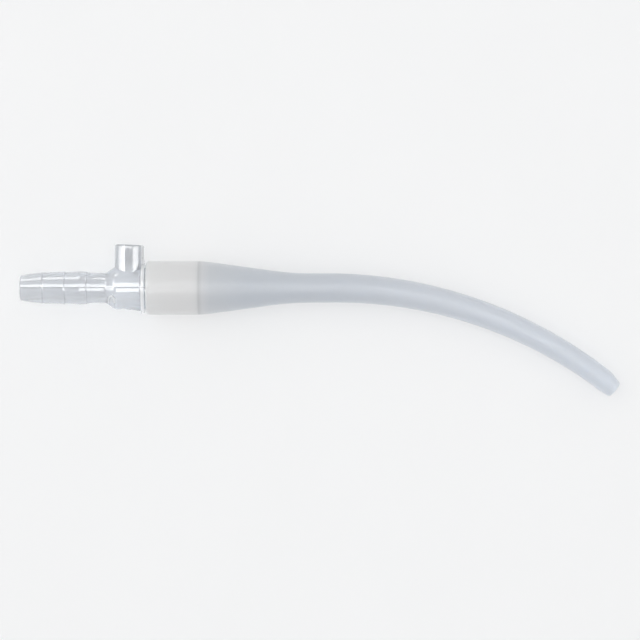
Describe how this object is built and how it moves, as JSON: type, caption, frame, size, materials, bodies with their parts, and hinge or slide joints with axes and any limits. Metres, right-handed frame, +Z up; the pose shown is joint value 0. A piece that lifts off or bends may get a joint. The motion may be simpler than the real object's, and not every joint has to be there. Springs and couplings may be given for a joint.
{
  "type": "saliva ejector tip",
  "caption": "Hand-held oral suction tip: a clear barbed hose connector with a side vent port, and a soft milky curved tip pushed onto its spigot.",
  "frame": {"origin": "middle of the object's box on the surface that it lies on", "axes": "+X from the hose end towards the tip, +Y the way the vent port points, +Z up; the connector's own axis dips 2.3 degrees towards the tip, because the socket and the end of the thinner tube both rest on the surface"},
  "size_m": [0.1324, 0.0334, 0.0123],
  "materials": {
    "clear_rigid_plastic": "clear, polished",
    "soft_milky_plastic": "milky translucent, soft satin"
  },
  "bodies": {
    "connector": {"hose_connector": "clear_rigid_plastic"},
    "socket": {"soft_tip_socket": "soft_milky_plastic"},
    "tube": {"soft_tip_tube": "soft_milky_plastic"}
  },
  "joints": [
    {"name": "tip_swivel", "type": "hinge", "parent": "connector", "child": "socket", "pos_m": [-0.0386, 0.00707, 0.00639], "axis": [0.9992, 0, -0.0396], "continuous": true},
    {"name": "tip_flex", "type": "hinge", "parent": "socket", "child": "tube", "pos_m": [-0.00368, 0.00707, 0.00501], "axis": [0.0396, 0, 0.9992], "range_deg": [-20, 20], "stiffness_Nm_per_rad": 0.03}
  ]
}
